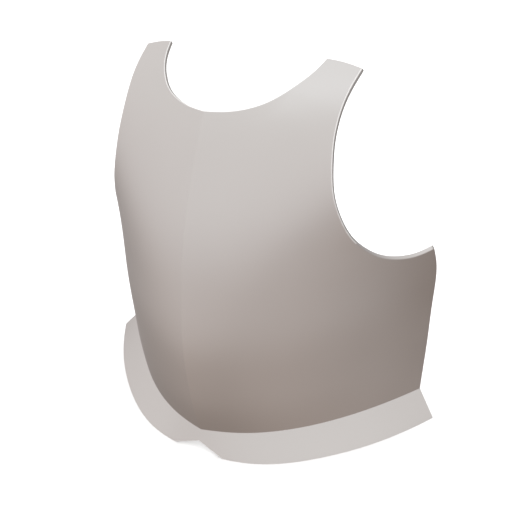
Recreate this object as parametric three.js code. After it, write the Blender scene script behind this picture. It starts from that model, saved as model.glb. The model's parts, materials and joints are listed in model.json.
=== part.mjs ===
// Steel breastplate: one forged sheet standing on the rim of its waist flange.
// Millimetres, +Z up. The front faces -Y and X = 0 is the plane of symmetry.
import * as THREE from 'three';

// Driving sizes
const HEIGHT = 400.2; // floor to the inner corner of a shoulder tab
const WAIST_HALF_WIDTH = 190.4; // middle of the plate to the end of the waist crease
const NECK_RECEDE = 53.8; // how far the ridge leans back from the belly up to the neck
const CREASE_HEIGHT = 25.7; // floor to the crease where the flange turns out
const CREASE_DIP = 2; // how much lower the crease runs under the ridge
const FLANGE_REACH = 24.6; // crease to rim, seen from above
const NOTCH_HALF_WIDTH = 26.6; // notch in the rim, measured up at the crease
const NOTCH_HEIGHT = 12.1; // floor to the top of the notch
const THICKNESS = 3.5; // thickness of the sheet

// Facets across one half of the plate, from the ridge to the side
const NOTCH_COLUMNS = 3;
const NECK_COLUMNS = 8;
const TAB_COLUMNS = 6;
const ARM_COLUMNS = 7;

// Facets up the plate
const FLANGE_ROWS = 3;
const WAIST_ROWS = 14;
const CHEST_ROWS = 11;
const TAB_ROWS = 5;

// Shares of the half width of the grid at the last neck column and the last tab column.
const NECK_SHARE = 0.42;
const TAB_SHARE = 0.69;

// The crease columns stand closer together towards the sides, where the plate turns back.
const COLUMN_SQUEEZE = 0.3;

// Ridge line: height over HEIGHT, distance behind the belly over NECK_RECEDE.
// Above the neck (0.9065) the line only carries the surface on to the shoulder tabs.
const RIDGE = [
  { height: 0.06, behind: 0.457 },
  { height: 0.15, behind: 0.247 },
  { height: 0.25, behind: 0.0985 },
  { height: 0.3625, behind: 0 },
  { height: 0.475, behind: 0.028 },
  { height: 0.575, behind: 0.106 },
  { height: 0.675, behind: 0.273 },
  { height: 0.775, behind: 0.546 },
  { height: 0.85, behind: 0.781 },
  { height: 0.905, behind: 1 },
  { height: 0.95, behind: 1.294 },
  { height: 1, behind: 1.857 },
];

// Level sections: depth behind the ridge is slope * x + bulge * x * x / WAIST_HALF_WIDTH.
const SECTIONS = [
  { height: 0.06, slope: 0.14, bulge: 0.75 },
  { height: 0.24, slope: 0.189, bulge: 0.758 },
  { height: 0.42, slope: 0.202, bulge: 0.73 },
  { height: 0.6, slope: 0.161, bulge: 0.659 },
  { height: 0.78, slope: 0.2, bulge: 0.329 },
  { height: 1, slope: 0.297, bulge: 0.248 },
];

// Front view of the outline, right half: x over WAIST_HALF_WIDTH, height over HEIGHT.
// Neck opening from the ridge to the inner corner of the tab.
const NECK = [
  { x: 0, height: 0.9065 },
  { x: 0.097, height: 0.9078 },
  { x: 0.194, height: 0.9157 },
  { x: 0.276, height: 0.9307 },
  { x: 0.341, height: 0.952 },
  { x: 0.4, height: 0.978 },
  { x: 0.4275, height: 1 },
];

// Top of the shoulder tab, from its inner corner to its outer corner.
const TAB_TOP = [
  { x: 0.4275, height: 1 },
  { x: 0.505, height: 0.9943 },
  { x: 0.592, height: 0.9838 },
];

// Side edge from the waist crease to the side corner under the arm.
const SIDE = [
  { x: 1, height: 0.0642 },
  { x: 1.008, height: 0.215 },
  { x: 1.0135, height: 0.38 },
  { x: 1.0115, height: 0.495 },
  { x: 0.996, height: 0.5435 },
];

// Arm opening from the side corner round and up to the outer corner of the tab.
const ARM = [
  { x: 0.996, height: 0.5435 },
  { x: 0.942, height: 0.536 },
  { x: 0.905, height: 0.537 },
  { x: 0.854, height: 0.545 },
  { x: 0.795, height: 0.563 },
  { x: 0.755, height: 0.584 },
  { x: 0.691, height: 0.63 },
  { x: 0.646, height: 0.685 },
  { x: 0.609, height: 0.7425 },
  { x: 0.589, height: 0.8005 },
  { x: 0.5745, height: 0.854 },
  { x: 0.5715, height: 0.904 },
  { x: 0.579, height: 0.9495 },
  { x: 0.592, height: 0.9838 },
];

// The grid is parted into waist, chest and tab along two lines across the plate.
const PARTING_HEIGHT = 0.53; // where the lower line starts on the ridge, over HEIGHT
const ARM_PARTING = 0.3; // where it ends, as a share of the arm opening
const NECK_SHOULDER = 0.62; // where the upper line starts, as a share of the neck opening
const ARM_SHOULDER = 0.81; // where it ends, as a share of the arm opening

// Flange reach over FLANGE_REACH by crease x over WAIST_HALF_WIDTH.
const REACH = [
  { x: 0, reach: 0.44 },
  { x: 0.13, reach: 0.56 },
  { x: 0.27, reach: 0.78 },
  { x: 0.41, reach: 0.91 },
  { x: 0.57, reach: 0.985 },
  { x: 0.8, reach: 1.07 },
  { x: 1, reach: 1.03 },
];

// Natural cubic spline through the values y at the places t, with straight ends.
function spline(t, y) {
  const n = t.length;
  const bend = new Array(n).fill(0);
  const ratio = new Array(n).fill(0);
  for (let i = 1; i < n - 1; i += 1) {
    const before = t[i] - t[i - 1];
    const after = t[i + 1] - t[i];
    const turn = (y[i + 1] - y[i]) / after - (y[i] - y[i - 1]) / before;
    const pivot = 2 * (before + after) - before * ratio[i - 1];
    ratio[i] = after / pivot;
    bend[i] = (6 * turn - before * bend[i - 1]) / pivot;
  }
  for (let i = n - 2; i > 0; i -= 1) {
    bend[i] -= ratio[i] * bend[i + 1];
  }
  return (at) => {
    let i = 0;
    while (i < n - 2 && at > t[i + 1]) {
      i += 1;
    }
    const gap = t[i + 1] - t[i];
    const right = (at - t[i]) / gap;
    const left = 1 - right;
    const sag = (left ** 3 - left) * bend[i] + (right ** 3 - right) * bend[i + 1];
    return left * y[i] + right * y[i + 1] + (sag * gap * gap) / 6;
  };
}

function column(table, key) {
  return table.map((row) => row[key]);
}

const ridgeBehind = spline(column(RIDGE, 'height'), column(RIDGE, 'behind'));
const sectionSlope = spline(column(SECTIONS, 'height'), column(SECTIONS, 'slope'));
const sectionBulge = spline(column(SECTIONS, 'height'), column(SECTIONS, 'bulge'));
const reachShare = spline(column(REACH, 'x'), column(REACH, 'reach'));

// Point of the outer face at one place of the front view.
// Depth is counted from the foremost point of the ridge.
function facePoint(x, z) {
  const height = z / HEIGHT;
  const bulge = (sectionBulge(height) * x * x) / WAIST_HALF_WIDTH;
  const depth = ridgeBehind(height) * NECK_RECEDE + sectionSlope(height) * x + bulge;
  return new THREE.Vector3(x, depth, z);
}

// One run of the outline in the front view, with 0 to 1 spread evenly along the real edge.
function outline(table) {
  const x = column(table, 'x').map((share) => share * WAIST_HALF_WIDTH);
  const z = column(table, 'height').map((share) => share * HEIGHT);
  const length = [0];
  for (let i = 1; i < x.length; i += 1) {
    const step = facePoint(x[i], z[i]).distanceTo(facePoint(x[i - 1], z[i - 1]));
    length.push(length[i - 1] + step);
  }
  const share = length.map((value) => value / length[length.length - 1]);
  const xAt = spline(share, x);
  const zAt = spline(share, z);
  return (at) => new THREE.Vector2(xAt(at), zAt(at));
}

const neck = outline(NECK);
const tabTop = outline(TAB_TOP);
const side = outline(SIDE);
const arm = outline(ARM);

function creaseX(u) {
  return WAIST_HALF_WIDTH * u * (1 + COLUMN_SQUEEZE * (1 - u));
}

function creaseZ(x) {
  const near = Math.max(0, 1 - x / NOTCH_HALF_WIDTH);
  return CREASE_HEIGHT - CREASE_DIP * near * near;
}

function crease(u) {
  const x = creaseX(u);
  return new THREE.Vector2(x, creaseZ(x));
}

// Part of a run, again from 0 to 1.
function span(run, from, to) {
  return (at) => run(from + (to - from) * at);
}

// The two lines that part the grid.
function parting(u) {
  const ridge = new THREE.Vector2(0, PARTING_HEIGHT * HEIGHT);
  return ridge.lerp(arm(ARM_PARTING), creaseX(u) / creaseX(TAB_SHARE));
}

function shoulder(at) {
  return neck(NECK_SHOULDER).lerp(arm(ARM_SHOULDER), at);
}

// Front view of a four-sided patch, blended from its edges. Each edge runs from 0 to 1.
function blend({ bottom, top, left, right }, u, v) {
  const flat = new THREE.Vector2();
  flat.addScaledVector(left(v), 1 - u).addScaledVector(right(v), u);
  flat.addScaledVector(bottom(u), 1 - v).addScaledVector(top(u), v);
  flat.addScaledVector(left(0), (u - 1) * (1 - v)).addScaledVector(right(0), -u * (1 - v));
  flat.addScaledVector(left(1), (u - 1) * v).addScaledVector(right(1), -u * v);
  return facePoint(flat.x, flat.y);
}

function ridgeRun(from, to) {
  return (v) => new THREE.Vector2(0, from + (to - from) * v);
}

// One edge made of two runs that meet at a share of it.
function joined(first, second, corner) {
  return (u) => (u <= corner ? first(u / corner) : second((u - corner) / (1 - corner)));
}

const waistPatch = {
  bottom: crease,
  top: joined(span(parting, 0, TAB_SHARE), span(arm, ARM_PARTING, 0), TAB_SHARE),
  left: ridgeRun(creaseZ(0), PARTING_HEIGHT * HEIGHT),
  right: side,
};

const chestPatch = {
  bottom: span(parting, 0, TAB_SHARE),
  top: joined(span(neck, 0, NECK_SHOULDER), shoulder, NECK_SHARE / TAB_SHARE),
  left: ridgeRun(PARTING_HEIGHT * HEIGHT, neck(0).y),
  right: span(arm, ARM_PARTING, ARM_SHOULDER),
};

const tabPatch = {
  bottom: shoulder,
  top: tabTop,
  left: span(neck, NECK_SHOULDER, 1),
  right: span(arm, ARM_SHOULDER, 1),
};

// Flange point: share 0 is the rim and 1 is the crease. The notch lifts the rim.
function flangePoint(u, share) {
  const x = creaseX(u);
  const top = facePoint(x, creaseZ(x));
  const step = WAIST_HALF_WIDTH / 1000;
  const ahead = facePoint(x + step, CREASE_HEIGHT);
  const back = facePoint(x - step, CREASE_HEIGHT);
  const rise = x < step ? 0 : ahead.y - back.y;
  const outward = new THREE.Vector3(rise, back.x - ahead.x, 0).normalize();
  const reach = FLANGE_REACH * reachShare(x / WAIST_HALF_WIDTH);
  const floor = top.clone().addScaledVector(outward, reach).setZ(0);
  const lift = NOTCH_HEIGHT * Math.max(0, 1 - x / NOTCH_HALF_WIDTH);
  return floor.lerp(top, lift / top.z).lerp(top, share);
}

// Column shares from the ridge to the side, with a column at the foot of the notch.
function columnShares() {
  const foot = NOTCH_HALF_WIDTH / (WAIST_HALF_WIDTH * (1 + COLUMN_SQUEEZE));
  const stops = [0, foot, NECK_SHARE, TAB_SHARE, 1];
  const counts = [NOTCH_COLUMNS, NECK_COLUMNS, TAB_COLUMNS, ARM_COLUMNS];
  const shares = [0];
  counts.forEach((count, group) => {
    for (let i = 1; i <= count; i += 1) {
      shares.push(stops[group] + ((stops[group + 1] - stops[group]) * i) / count);
    }
  });
  return shares;
}

// Outer points of the right half as rows, rim first. Each row maps column number to point:
// the chest rows stop at the arm opening, and the tab rows start at the neck opening too.
function halfRows() {
  const shares = columnShares();
  const tabEnd = shares.length - 1 - ARM_COLUMNS;
  const tabStart = tabEnd - TAB_COLUMNS;
  const rows = [];
  const addRow = (from, to, pointAt) => {
    const row = new Map();
    for (let i = from; i <= to; i += 1) {
      row.set(i, pointAt(shares[i]));
    }
    rows.push(row);
  };
  for (let j = 0; j < FLANGE_ROWS; j += 1) {
    addRow(0, shares.length - 1, (u) => flangePoint(u, j / FLANGE_ROWS));
  }
  for (let j = 0; j <= WAIST_ROWS; j += 1) {
    addRow(0, shares.length - 1, (u) => blend(waistPatch, u, j / WAIST_ROWS));
  }
  for (let j = 1; j <= CHEST_ROWS; j += 1) {
    addRow(0, tabEnd, (u) => blend(chestPatch, u / TAB_SHARE, j / CHEST_ROWS));
  }
  for (let j = 1; j <= TAB_ROWS; j += 1) {
    const across = (u) => (u - NECK_SHARE) / (TAB_SHARE - NECK_SHARE);
    addRow(tabStart, tabEnd, (u) => blend(tabPatch, across(u), j / TAB_ROWS));
  }
  return rows;
}

// Outer face of the whole plate as points and four-sided facets. The first corner of each
// facet is the one its two triangles share, and the two halves mirror each other.
function outerFace() {
  const points = [];
  const rows = halfRows().map((half) => {
    const row = new Map();
    half.forEach((point, i) => {
      row.set(i, points.push(point) - 1);
      if (i > 0) {
        row.set(-i, points.push(new THREE.Vector3(-point.x, point.y, point.z)) - 1);
      }
    });
    return row;
  });
  const facets = [];
  for (let j = 0; j < rows.length - 1; j += 1) {
    const [low, high] = [rows[j], rows[j + 1]];
    high.forEach((corner, i) => {
      if (high.has(i + 1)) {
        const corners = [low.get(i), low.get(i + 1), high.get(i + 1), corner];
        facets.push(i < 0 ? [...corners.slice(1), corners[0]] : corners);
      }
    });
  }
  return { points, facets, rim: rows[0], aboveRim: rows[1] };
}

// Inner point behind each outer point, THICKNESS behind the facets that meet there.
function innerPoints({ points, facets, rim, aboveRim }) {
  const normals = points.map(() => []);
  facets.forEach((facet) => facet.forEach((corner, i) => {
    const next = points[facet[(i + 1) % 4]].clone().sub(points[corner]);
    const last = points[facet[(i + 3) % 4]].clone().sub(points[corner]);
    normals[corner].push(last.cross(next).normalize());
  }));
  const inner = points.map((point, at) => {
    const inward = new THREE.Vector3();
    normals[at].forEach((normal) => inward.add(normal));
    inward.normalize();
    const lean = normals[at].reduce((sum, normal) => sum + normal.dot(inward), 0);
    return point.clone().addScaledVector(inward, (THICKNESS * normals[at].length) / lean);
  });
  rim.forEach((at, i) => {
    if (inner[at].z < 0) {
      const up = points[aboveRim.get(i)].clone().sub(points[at]);
      inner[at].addScaledVector(up, -inner[at].z / up.z).setZ(0);
    }
  });
  return inner;
}

// Walls that join the two faces all round: one facet for each edge used only once.
function edgeWalls(facets, count) {
  const used = new Set();
  facets.forEach((facet) => facet.forEach((a, i) => used.add(`${a},${facet[(i + 1) % 4]}`)));
  const walls = [];
  facets.forEach((facet) => facet.forEach((a, i) => {
    const b = facet[(i + 1) % 4];
    if (!used.has(`${b},${a}`)) {
      walls.push([a, a + count, b + count, b]);
    }
  }));
  return walls;
}

function breastplateGeometry() {
  const outer = outerFace();
  const points = [...outer.points, ...innerPoints(outer)];
  const count = outer.points.length;
  const inner = outer.facets.map(([a, b, c, d]) => [a + count, d + count, c + count, b + count]);
  const facets = [...outer.facets, ...inner, ...edgeWalls(outer.facets, count)];
  const geometry = new THREE.BufferGeometry().setFromPoints(points);
  geometry.setIndex(facets.flatMap(([a, b, c, d]) => [a, b, c, a, c, d]));
  geometry.computeBoundingBox();
  const middle = (geometry.boundingBox.min.y + geometry.boundingBox.max.y) / 2;
  geometry.translate(0, -middle, 0);
  geometry.computeVertexNormals();
  return geometry;
}

const steel = new THREE.MeshStandardMaterial({
  name: 'steel',
  color: 0xb9b3af,
  metalness: 1,
  roughness: 0.42,
});

const breastplate = new THREE.Mesh(breastplateGeometry(), steel);
breastplate.name = 'breastplate';

const part = new THREE.Group();
part.name = 'steel_breastplate';
part.add(breastplate);

export default part;
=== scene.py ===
# %% [markdown]
# # A steel breastplate
#
# A breastplate is one sheet of steel, hammered to the shape of a chest. This one has a ridge down
# its middle, two shoulder tabs with the neck opening between them, a round opening for each arm,
# and a flange at the waist that turns outward and is notched in the middle.
#
# The cells below take the plain faceted sheet from the CAD model and finish it as an armourer
# would: smooth the face, set the creases, give the sheet its thickness, break its edges, and
# polish it. Run them from top to bottom in Blender's text editor or as a script.

import json
from math import radians

import bpy
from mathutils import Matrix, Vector

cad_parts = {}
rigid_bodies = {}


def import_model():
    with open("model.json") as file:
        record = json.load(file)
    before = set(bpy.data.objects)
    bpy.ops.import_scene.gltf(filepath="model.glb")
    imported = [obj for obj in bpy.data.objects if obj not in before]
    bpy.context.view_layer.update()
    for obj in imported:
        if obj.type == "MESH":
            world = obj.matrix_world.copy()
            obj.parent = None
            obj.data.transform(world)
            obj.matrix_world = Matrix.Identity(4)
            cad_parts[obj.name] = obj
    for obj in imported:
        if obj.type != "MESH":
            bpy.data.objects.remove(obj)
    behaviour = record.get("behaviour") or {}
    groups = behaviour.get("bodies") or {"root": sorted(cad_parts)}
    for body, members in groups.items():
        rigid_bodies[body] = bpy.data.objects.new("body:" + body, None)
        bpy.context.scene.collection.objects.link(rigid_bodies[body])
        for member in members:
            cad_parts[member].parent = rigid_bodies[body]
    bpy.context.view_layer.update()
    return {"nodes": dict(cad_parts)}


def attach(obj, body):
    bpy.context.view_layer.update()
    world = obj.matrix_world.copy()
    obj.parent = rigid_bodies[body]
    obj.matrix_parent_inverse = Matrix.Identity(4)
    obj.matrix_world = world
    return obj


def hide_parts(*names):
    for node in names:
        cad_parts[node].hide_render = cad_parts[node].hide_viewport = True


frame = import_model()

# %% [markdown]
# ## Working by hand, in code
#
# Blender's operators act on whatever is selected, so a script does what a hand would do: clear the
# selection, pick the object, go into edit mode, choose edges or faces by where they are, and call
# the tool. A few small helpers keep that readable. One of them applies a modifier at once, because
# a finished piece should be plain mesh.

# %% Helpers for picking and applying
MM = 0.001


def take_up(piece):
    """Makes this the only selected and active object."""
    if bpy.context.mode != "OBJECT":
        bpy.ops.object.mode_set(mode="OBJECT")
    bpy.ops.object.select_all(action="DESELECT")
    piece.select_set(True)
    bpy.context.view_layer.objects.active = piece


def pick(piece, kind, choose):
    """Selects the vertices, edges or faces that choose() says yes to, and opens edit mode."""
    take_up(piece)
    bpy.ops.object.mode_set(mode="EDIT")
    bpy.ops.mesh.select_mode(type={"vertices": "VERT", "edges": "EDGE"}.get(kind, "FACE"))
    bpy.ops.mesh.select_all(action="DESELECT")
    bpy.ops.object.mode_set(mode="OBJECT")
    items = getattr(piece.data, kind)
    chosen = [item for item in items if choose(item)]
    for item in chosen:
        item.select = True
    bpy.ops.object.mode_set(mode="EDIT")
    return len(chosen)


def put_down():
    """Leaves edit mode, which also writes the change into the mesh."""
    bpy.ops.object.mode_set(mode="OBJECT")


def apply_modifier(piece, kind, **settings):
    """Adds a modifier, sets it and applies it."""
    take_up(piece)
    modifier = piece.modifiers.new(kind.title(), kind)
    for name, value in settings.items():
        setattr(modifier, name, value)
    bpy.ops.object.modifier_apply(modifier=modifier.name)


def ends(piece, edge):
    """Where the two ends of an edge are."""
    return [piece.data.vertices[i].co for i in edge.vertices]


print("one millimetre in Blender's metres:", MM)

# %% [markdown]
# ## A kit for shader nodes
#
# A material is a small graph of nodes. Written one link at a time it is long and hard to read, so
# a little class wraps a socket and lets Python's own signs add the Math nodes: `1 - mask` makes a
# subtract node. Every other node comes from one method.


# %% Shader node kit
class Wire:
    """One output socket that can be used in a Python expression."""

    def __init__(self, bench, socket):
        self.bench = bench
        self.socket = socket

    def _math(self, operation, first, second):
        return self.bench.node("ShaderNodeMath", {"operation": operation}, [first, second])

    def __add__(self, other):
        return self._math("ADD", self, other)

    def __sub__(self, other):
        return self._math("SUBTRACT", self, other)

    def __mul__(self, other):
        return self._math("MULTIPLY", self, other)

    def __rsub__(self, other):
        return self._math("SUBTRACT", other, self)

    __radd__ = __add__
    __rmul__ = __mul__


class Bench:
    """Adds nodes to one node tree."""

    def __init__(self, tree):
        self.tree = tree
        tree.nodes.clear()

    def node(self, kind, settings=None, inputs=(), output=0):
        """Makes a node from its type, its settings and the values or wires of its sockets."""
        made = self.tree.nodes.new(kind)
        for name, value in (settings or {}).items():
            if name == "stops":
                self._set_stops(made.color_ramp, value)
            else:
                setattr(made, name, value)
        pairs = inputs.items() if isinstance(inputs, dict) else enumerate(inputs)
        for key, value in pairs:
            if isinstance(value, Wire):
                self.tree.links.new(value.socket, made.inputs[key])
            else:
                made.inputs[key].default_value = value
        return Wire(self, made.outputs[output]) if made.outputs else made

    def _set_stops(self, ramp, stops):
        while len(ramp.elements) < len(stops):
            ramp.elements.new(0.5)
        for element, (place, colour) in zip(ramp.elements, stops):
            element.position = place
            element.color = (*colour, 1)


def new_material(name):
    """Makes an empty material and the bench to build it on."""
    material = bpy.data.materials.new(name)
    material.use_nodes = True
    return material, Bench(material.node_tree)


print("signs a wire understands: + - *")

# %% [markdown]
# ## Four finishes of one steel
#
# The front was ground and then rubbed to an even satin, so it is all metal with a medium
# roughness and hardly any pattern. What keeps it from looking like plastic is small: a cloudy
# change of tone and gloss as wide as a hand, a fine grain that runs up and down with the rubbing,
# and a trace of the hammer under the polish. All three are noises on Object coordinates, so they
# stay on the steel however it is turned.
#
# The other finishes are the same steel, worked less. The corner of the sheet was filed, and its
# finish is brighter than the face and a little whiter, partly as filed steel and partly as a
# painted highlight along the edge. The cut wall behind it was left as the shears left it, a little
# duller, and its darker tone is painted shade for the shade in the edge of the sheet. The inner
# face keeps more of the hammer, since nobody sees it when the plate is worn. One function makes all
# four, so that they stay one metal.

# %% Steel finishes
CLOUD_SCALE = 11.0
DENT_SCALE = 38.0
GRAIN_SCALE = 900.0
GRAIN_STRETCH = (1.0, 1.0, 0.06)
DENT_DEPTH = 1 * MM
NOISE_MIDDLE = 0.5


def steel(name, dull, bright, metal, roughness, cloudiness, grain, hammer):
    """Steel between two tones. The last three are the strengths of its small unevenness."""
    material, bench = new_material(name)
    place = bench.node("ShaderNodeTexCoord", output="Object")
    stretched = bench.node("ShaderNodeMapping", None, {"Vector": place, "Scale": GRAIN_STRETCH})
    cloud = bench.node(
        "ShaderNodeTexNoise", None, {"Vector": place, "Scale": CLOUD_SCALE, "Detail": 3.0}
    )
    rubbing = bench.node(
        "ShaderNodeTexNoise", None, {"Vector": stretched, "Scale": GRAIN_SCALE, "Detail": 2.0}
    )
    dents = bench.node(
        "ShaderNodeTexNoise", None, {"Vector": place, "Scale": DENT_SCALE, "Detail": 1.0}
    )
    tone = bench.node(
        "ShaderNodeMix",
        {"data_type": "RGBA"},
        {"Factor": cloud, "A": (*dull, 1), "B": (*bright, 1)},
        output="Result",
    )
    uneven = (cloud - NOISE_MIDDLE) * cloudiness + (rubbing - NOISE_MIDDLE) * grain
    gloss = roughness + uneven
    relief = bench.node(
        "ShaderNodeBump", None, {"Strength": hammer, "Distance": DENT_DEPTH, "Height": dents}
    )
    shader = bench.node(
        "ShaderNodeBsdfPrincipled",
        None,
        {"Base Color": tone, "Metallic": metal, "Roughness": gloss, "Normal": relief},
    )
    bench.node("ShaderNodeOutputMaterial", None, [shader])
    return material


# The filed finish carries a painted highlight, and the wall finish carries painted shade.
FACE, FILED_HIGHLIGHT, WALL_SHADE, BACK = range(4)
finishes = [
    steel(
        "satin_steel",
        dull=(0.700, 0.682, 0.670),
        bright=(0.728, 0.710, 0.698),
        metal=1,
        roughness=0.33,
        cloudiness=0.05,
        grain=0.04,
        hammer=0.02,
    ),
    # Filed edge: its brighter, whiter tone and partly diffuse metal are partly filed steel and
    # partly a painted highlight along the edge.
    steel(
        "filed_edge_painted_highlight",
        dull=(0.86, 0.85, 0.84),
        bright=(0.90, 0.89, 0.88),
        metal=0.75,
        roughness=0.30,
        cloudiness=0.04,
        grain=0.06,
        hammer=0.0,
    ),
    # Cut wall: its darker tone is painted shade, standing in for the shade in the edge of the
    # sheet.
    steel(
        "cut_wall_painted_shade",
        dull=(0.55, 0.53, 0.515),
        bright=(0.61, 0.59, 0.575),
        metal=1,
        roughness=0.38,
        cloudiness=0.04,
        grain=0.08,
        hammer=0.0,
    ),
    steel(
        "inner_face",
        dull=(0.60, 0.583, 0.572),
        bright=(0.66, 0.643, 0.632),
        metal=1,
        roughness=0.42,
        cloudiness=0.08,
        grain=0.04,
        hammer=0.10,
    ),
]
print("finishes:", [finish.name for finish in finishes])

# %% [markdown]
# ## The outer face
#
# The CAD solid already has the right form, but in flat facets. A copy of it is merged, because the
# node comes as loose triangles, and its triangles are joined back into four-sided faces, which
# smooth far better. The faces at the front are then kept and the rest deleted: the back of the
# sheet and its edge walls are made again later at full smoothness.
#
# The front meets the edge walls at nearly a right angle. Marking those edges as a seam lets
# Blender select everything that is linked to one face of the belly, up to the seam.

# %% Keep the front of a copy of the CAD sheet
SAME_POINT = 0.01 * MM
FLATTEST_JOIN = radians(50)
LEAST_SQUARE = radians(100)
FOLLOW_THE_GRID = 1.5
WALL_ANGLE = radians(72)
BELLY = Vector((20 * MM, -98 * MM, 145 * MM))

node = frame["nodes"]["breastplate"]
plate = bpy.data.objects.new("steel_plate", node.data.copy())
bpy.context.scene.collection.objects.link(plate)
plate.data.materials.clear()
for finish in finishes:
    plate.data.materials.append(finish)

take_up(plate)
bpy.ops.object.mode_set(mode="EDIT")
bpy.ops.mesh.select_all(action="SELECT")
bpy.ops.mesh.remove_doubles(threshold=SAME_POINT)
bpy.ops.mesh.tris_convert_to_quads(
    face_threshold=FLATTEST_JOIN,
    shape_threshold=LEAST_SQUARE,
    topology_influence=FOLLOW_THE_GRID,
)
bpy.ops.mesh.select_all(action="DESELECT")
bpy.ops.mesh.select_mode(type="EDGE")
bpy.ops.mesh.edges_select_sharp(sharpness=WALL_ANGLE)
bpy.ops.mesh.mark_seam()
put_down()

_, belly_face = min(((face.center - BELLY).length, face.index) for face in plate.data.polygons)
pick(plate, "polygons", lambda face: face.index == belly_face)
bpy.ops.mesh.select_linked(delimit={"SEAM"})
bpy.ops.mesh.select_all(action="INVERT")
bpy.ops.mesh.delete(type="FACE")
put_down()
corners = [len(face.vertices) for face in plate.data.polygons]
print("front faces:", len(corners), "of which three-sided:", corners.count(3))

# %% [markdown]
# ## Smoothing between the creases
#
# Hammered steel is round everywhere except where the armourer set a crease over a stake: down the
# middle ridge, and along the waist where the flange turns out. The Subdivision Surface modifier
# rounds the mesh and leaves an edge alone where its crease value is 1. The notch in the flange was
# cut with shears, so its foot points are kept as corners in the same way.
#
# Rounding pulls a bulging surface in by a hair, so the face is then swelled along its normals to
# lie on the CAD face again, and lowered a hair so that its top doesn't stand proud. The rim that
# the plate stands on is one flat ring, so its points are pressed down onto the floor.

# %% Crease the ridge and the waist, then subdivide
CREASE_HEIGHT = 25.7 * MM
CREASE_BELOW, CREASE_ABOVE = 3 * MM, 0.8 * MM
RIDGE_NEAR = 0.05 * MM
NOTCH_FOOT_HEIGHT = 0.5 * MM
NOTCH_FOOT_FROM, NOTCH_FOOT_TO = 24 * MM, 31 * MM
RIM_HEIGHT = 0.8 * MM
SWELLING = 0.15 * MM
LOWERING = 0.9996
BASE_MIDDLE = (0, 0, 0)


def on_ridge(edge):
    return all(abs(co.x) < RIDGE_NEAR for co in ends(plate, edge))


def on_waist(edge):
    return all(-CREASE_BELOW < co.z - CREASE_HEIGHT < CREASE_ABOVE for co in ends(plate, edge))


def at_notch_foot(vertex):
    across = abs(vertex.co.x)
    return vertex.co.z < NOTCH_FOOT_HEIGHT and NOTCH_FOOT_FROM < across < NOTCH_FOOT_TO


ridge_count = pick(plate, "edges", on_ridge)
bpy.ops.transform.edge_crease(value=1)
waist_count = pick(plate, "edges", on_waist)
bpy.ops.transform.edge_crease(value=1)
foot_count = pick(plate, "vertices", at_notch_foot)
bpy.ops.transform.vert_crease(value=1)
put_down()
print("creased:", ridge_count, "ridge edges,", waist_count, "waist edges,", foot_count, "corners")

apply_modifier(plate, "SUBSURF", levels=2, render_levels=2, boundary_smooth="PRESERVE_CORNERS")
pick(plate, "vertices", lambda vertex: vertex.co.z > RIM_HEIGHT)
bpy.ops.transform.shrink_fatten(value=SWELLING)
bpy.ops.mesh.select_all(action="SELECT")
bpy.ops.transform.resize(value=(1, 1, LOWERING), center_override=BASE_MIDDLE)
put_down()
rim_count = pick(plate, "vertices", lambda vertex: vertex.co.z < RIM_HEIGHT)
bpy.ops.transform.resize(value=(1, 1, 0), center_override=BASE_MIDDLE)
put_down()
print("smooth front faces:", len(plate.data.polygons), "points pressed flat:", rim_count)

# %% [markdown]
# ## The sheet's thickness
#
# Solidify lays a second skin behind the first and closes the edge all round. Its vertex group
# marks the new inner skin, so that later steps can tell the two apart. The sheet stands on its
# rim, which is filed flat: a bisect just above the floor cuts the slanting edge off and fills it.

# %% Thicken the sheet and file the rim flat
THICKNESS = 3.5 * MM
ROUGH_CUT = 0.03 * MM
ON_THE_CUT = 0.001 * MM

plate.vertex_groups.new(name="inner skin")
apply_modifier(
    plate,
    "SOLIDIFY",
    thickness=THICKNESS,
    offset=-1,
    use_even_offset=True,
    use_quality_normals=True,
    shell_vertex_group="inner skin",
)


def file_flat(piece, height):
    """Cuts off all that is lower than this height and closes the cut."""
    take_up(piece)
    bpy.ops.object.mode_set(mode="EDIT")
    bpy.ops.mesh.select_all(action="SELECT")
    bpy.ops.mesh.bisect(
        plane_co=(0, 0, height),
        plane_no=(0, 0, 1),
        use_fill=True,
        clear_inner=True,
        threshold=ON_THE_CUT,
    )
    put_down()


file_flat(plate, ROUGH_CUT)
print("thick sheet faces:", len(plate.data.polygons))

# %% [markdown]
# ## Telling the skins from the walls
#
# The vertex group from Solidify says which points lie on the inner skin. A face with points on
# both skins is part of the cut wall, so its edges are where sheet and wall meet: the edges an
# armourer would file.

# %% Helpers for the edge of the sheet
HALF = 0.5


def inner(vertex):
    """True on the inner skin, where the vertex group's weight is 1."""
    return any(link.weight > HALF for link in vertex.groups)


def inner_points(item):
    """How many points of an edge or a face lie on the inner skin."""
    return sum(inner(plate.data.vertices[i]) for i in item.vertices)


def pick_sheet_edges(skin_points, choose=lambda edge: True):
    """Selects the edges of the cut wall: 0 picks those on the outer skin, 2 on the inner."""
    walls = [face for face in plate.data.polygons if 0 < inner_points(face) < len(face.vertices)]
    keys = {key for face in walls for key in face.edge_keys}

    def wanted(edge):
        return edge.key in keys and inner_points(edge) == skin_points and choose(edge)

    return pick(plate, "edges", wanted)


print("edges of the outer skin:", pick_sheet_edges(0), "and of the inner:", pick_sheet_edges(2))
put_down()

# %% [markdown]
# ## Ridge and waist
#
# The ridge was worked from inside over a rounded stake, so it gets a small radius with a narrow
# bevel. The waist was struck over the square edge of an anvil and stays crisp: its edges are
# marked sharp on both skins, which splits the shading there.

# %% Round the ridge, keep the waist crisp
RIDGE_BEVEL = 0.7 * MM
WAIST_FROM, WAIST_TO = 20 * MM, 28 * MM
WAIST_ANGLE = radians(25)

ridge_count = pick(plate, "edges", on_ridge)
bpy.ops.mesh.bevel(offset=RIDGE_BEVEL, segments=2, profile=0.5, affect="EDGES")
put_down()


def near_waist(edge):
    """True for edges at the waist that lie on one of the skins and don't cross the wall."""
    low_enough = all(WAIST_FROM < co.z < WAIST_TO for co in ends(plate, edge))
    return low_enough and inner_points(edge) != 1


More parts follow.
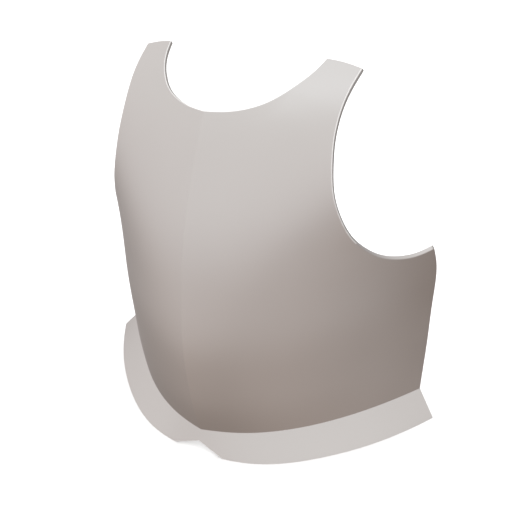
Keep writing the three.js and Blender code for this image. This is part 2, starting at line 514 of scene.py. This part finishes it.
take_up(plate)
bpy.ops.object.mode_set(mode="EDIT")
bpy.ops.mesh.select_mode(type="EDGE")
bpy.ops.mesh.select_all(action="DESELECT")
bpy.ops.mesh.edges_select_sharp(sharpness=WAIST_ANGLE)
put_down()
sharp = {edge.key for edge in plate.data.edges if edge.select}
waist_count = pick(plate, "edges", lambda edge: edge.key in sharp and near_waist(edge))
bpy.ops.mesh.mark_sharp()
put_down()
print("rounded on the ridge:", ridge_count, "kept crisp at the waist:", waist_count)

# %% [markdown]
# ## Arm openings
#
# The edge of an arm opening is turned a little outward, so that it doesn't cut into the arm. Only
# the inner skin's edge moves, towards the middle of the opening: from the front the cut wall then
# shows as a thin line, dark with painted shade, beside the filed edge and its painted highlight.
# The whole edge is drawn sideways, and its lower half upward as well.

# %% Turn the arm edges outward
ARM_MIDDLE = Vector((200 * MM, 0, 300 * MM))
TURN_OUT = 0.976
TAB_HEIGHT = 385 * MM
TAB_OUTER = 110 * MM
ARM_INNERMOST = 106 * MM
ARM_LOWEST = 212 * MM
TOP_HEIGHT = 1000 * MM


def on_arm(co):
    """True for places along an arm opening, up to the outer corner of the shoulder tab."""
    across = abs(co.x)
    if co.z > TAB_HEIGHT:
        return across > TAB_OUTER
    return across > ARM_INNERMOST and co.z > ARM_LOWEST


def turn_out(side, highest, scale):
    """Draws the inner edge of one arm opening, up to a height, towards the opening's middle."""

    def along_arm(edge):
        places = ends(plate, edge)
        return all(on_arm(co) and co.x * side > 0 and co.z < highest for co in places)

    count = pick_sheet_edges(2, along_arm)
    middle = (side * ARM_MIDDLE.x, 0, ARM_MIDDLE.z)
    bpy.ops.transform.resize(value=scale, center_override=middle)
    put_down()
    return count


turned = 0
for side in (1, -1):
    turned += turn_out(side, TOP_HEIGHT, (TURN_OUT, 1, 1))
    turn_out(side, ARM_MIDDLE.z, (1, 1, TURN_OUT))
print("arm edges turned outward:", turned)

# %% [markdown]
# ## Filed edges
#
# An armourer files the sharp corner off the sheet, more at the front, which is seen and touched,
# than at the back. A bevel does the same to the mesh, and it can give its new faces a finish of
# their own. The rim is filed flat once more at the end, because a bevel can reach under it.

# %% Bevel the edges of the sheet
FRONT_BEVEL = 0.7 * MM
BACK_BEVEL = 0.35 * MM
FINE_CUT = 0.02 * MM

front_count = pick_sheet_edges(0)
# The filed faces take the finish that carries a painted highlight.
bpy.ops.mesh.bevel(offset=FRONT_BEVEL, segments=3, profile=0.5, affect="EDGES", material=FILED_HIGHLIGHT)
put_down()
back_count = pick_sheet_edges(2)
bpy.ops.mesh.bevel(offset=BACK_BEVEL, segments=2, profile=0.5, affect="EDGES", material=BACK)
put_down()
file_flat(plate, FINE_CUT)
print("front edges filed:", front_count, "back edges filed:", back_count)

# %% [markdown]
# ## Smooth shading
#
# Smooth shading blends the light across neighbouring faces. Left alone, it would also bend the
# light on the big smooth face towards the tiny bevels beside it, as if the sheet had a swollen
# border. Weighted normals let the large faces decide and keep the edges that were marked sharp.

# %% Smooth shading
EVEN_WEIGHT = 50

take_up(plate)
bpy.ops.object.shade_smooth()
apply_modifier(
    plate,
    "WEIGHTED_NORMAL",
    mode="FACE_AREA_WITH_ANGLE",
    weight=EVEN_WEIGHT,
    keep_sharp=True,
)
print("finished faces:", len(plate.data.polygons))

# %% [markdown]
# ## A finish for each face
#
# The filed faces already have theirs from the bevel, with its painted highlight. The vertex group
# tells the rest apart: a face with all its points on the inner skin is inner face, and one with
# only some of them there is cut wall, with its painted shade. Under the arm, where an edge would
# chafe, filed corner and wall were rubbed as smooth as the front, so both get the satin of the
# front there, without the painted highlight and painted shade.

# %% Give each face its finish
UNDER_ARM = 247 * MM


def under_arm(face):
    """True for faces in the lowest part of an arm opening."""
    return on_arm(face.center) and face.center.z < UNDER_ARM


counts = [0] * len(finishes)
for face in plate.data.polygons:
    inside = inner_points(face)
    if face.material_index == FACE and inside == len(face.vertices):
        face.material_index = BACK
    elif face.material_index == FACE and inside:
        face.material_index = WALL_SHADE
    # Under the arm the painted highlight and painted shade are left out.
    if face.material_index in (FILED_HIGHLIGHT, WALL_SHADE) and under_arm(face):
        face.material_index = FACE
    counts[face.material_index] += 1
plate.data.update()
print("faces of satin, filed, wall and inner finish:", counts)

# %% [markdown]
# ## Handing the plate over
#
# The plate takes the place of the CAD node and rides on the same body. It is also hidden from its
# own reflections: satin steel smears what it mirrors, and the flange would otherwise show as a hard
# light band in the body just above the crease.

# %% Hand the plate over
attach(plate, "root")
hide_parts("breastplate")
plate.visible_glossy = False
triangles = sum(len(face.vertices) - 2 for face in plate.data.polygons)
print("plate handed over:", plate.name, "with", triangles, "triangles")

# %% [markdown]
# ## Floor
#
# The floor is a wide sheet of pale paper, so that nothing but a soft shadow shows under the rim.
# It is left out of the steel's reflections, because the studio's gradient below already holds what
# the flange mirrors.

# %% Pale floor
FLOOR_WIDTH = 12
PAPER = (0.95, 0.95, 0.95, 1)

bpy.ops.object.select_all(action="DESELECT")
bpy.ops.mesh.primitive_plane_add(size=FLOOR_WIDTH, location=(0, 0, 0))
floor = bpy.context.object
floor.name = "floor"
paper, bench = new_material("pale_paper")
shader = bench.node("ShaderNodeBsdfDiffuse", None, {"Color": PAPER})
bench.node("ShaderNodeOutputMaterial", None, [shader])
floor.data.materials.append(paper)
floor.visible_glossy = False
print("floor:", FLOOR_WIDTH, "m wide")

# %% [markdown]
# ## Studio light
#
# Steel shows what is around it, so the studio is the light. The world is a soft gradient by
# height, white overhead and a warm grey below, as in a room with a pale ceiling. Three soft
# patches lie over it: the dark far end of the room behind the plate, the glow of the floor at the
# right, and a brown corner at the far right that darkens the side of the plate under the arm. Each
# has a direction, how nearly a ray must point to it to be touched and to be filled, and a strength.
#
# The camera and the floor see a plain white instead, which the Light Path node allows: only a
# glossy ray, one that has bounced off the steel, sees the room.

# %% Studio light
world = bpy.data.worlds.new("studio")
bpy.context.scene.world = world
world.use_nodes = True
bench = Bench(world.node_tree)
direction = bench.node("ShaderNodeTexCoord", output="Generated")
height = bench.node("ShaderNodeSeparateXYZ", None, [direction], output="Z")
SKY = [
    (-1.0, (0.64, 0.53, 0.47)),
    (-0.65, (0.63, 0.55, 0.51)),
    (-0.4, (0.665, 0.605, 0.58)),
    (-0.15, (0.745, 0.70, 0.685)),
    (0.2, (0.825, 0.79, 0.775)),
    (0.7, (0.81, 0.785, 0.77)),
    (1.0, (1.0, 1.0, 1.0)),
]
FAR_END = {"place": (0.2, 0.61, -0.766), "touched": -0.23, "filled": 0.8, "strength": 0.57}
FLOOR_GLOW = {"place": (0.63, 0, -0.776), "touched": 0.7, "filled": 1.1, "strength": 0.65}
BROWN_CORNER = {
    "place": (0.858, 0.312, -0.407),
    "touched": 0.96,
    "filled": 0.995,
    "strength": 0.8,
}
BROWN = (0.16, 0.10, 0.065, 1)
WHITE = (1, 1, 1, 1)
PLAIN_STRENGTH = 1.5

gradient = bench.node(
    "ShaderNodeValToRGB",
    {"stops": [(HALF + HALF * z, colour) for z, colour in SKY]},
    [height * HALF + HALF],
)


def patch(place, touched, filled, strength):
    """The strength where a ray points to this place, 0 away from it, a soft step in between."""
    facing = bench.node(
        "ShaderNodeVectorMath", {"operation": "DOT_PRODUCT"}, [direction, place], output="Value"
    )
    return bench.node(
        "ShaderNodeMapRange",
        {"interpolation_type": "SMOOTHSTEP"},
        {"Value": facing, "From Min": touched, "From Max": filled, "To Max": strength},
    )


level = (1.0 + patch(**FLOOR_GLOW)) * (1 - patch(**FAR_END))
room = bench.node(
    "ShaderNodeVectorMath",
    {"operation": "SCALE"},
    {"Vector": gradient, "Scale": level},
)
cornered = bench.node(
    "ShaderNodeMix",
    {"data_type": "RGBA"},
    {"Factor": patch(**BROWN_CORNER), "A": room, "B": BROWN},
    output="Result",
)
in_steel = bench.node("ShaderNodeLightPath", output="Is Glossy Ray")
mirrored = bench.node("ShaderNodeBackground", None, {"Color": cornered, "Strength": 1.0})
plain = bench.node("ShaderNodeBackground", None, {"Color": WHITE, "Strength": PLAIN_STRENGTH})
both = bench.node("ShaderNodeMixShader", None, [in_steel, plain, mirrored])
bench.node("ShaderNodeOutputWorld", None, [both])
print("gradient stops:", len(SKY), "and nodes in the world:", len(world.node_tree.nodes))

# %% [markdown]
# ## Camera
#
# The camera stands a little to the plate's right and well above it, close enough that the near
# flange looks larger than the far one. Its turn is given as two angles, how far it looks down and
# how far it has walked round, which are easier to change than a point to aim at.

# %% Camera
LOOK_DOWN = 28.607
WALK_ROUND = 26.627
STAND = (310.21 * MM, -561.6 * MM, 547.51 * MM)
LENS = 50
SENSOR = 36

camera_data = bpy.data.cameras.new("camera")
camera_data.lens = LENS
camera_data.sensor_width = SENSOR
camera = bpy.data.objects.new("camera", camera_data)
camera.location = STAND
camera.rotation_euler = (radians(90 - LOOK_DOWN), 0, radians(WALK_ROUND))
bpy.context.scene.collection.objects.link(camera)
bpy.context.scene.camera = camera
bpy.context.scene.view_settings.view_transform = "Standard"
print("camera distance from the middle of the base in mm:", round(camera.location.length / MM))
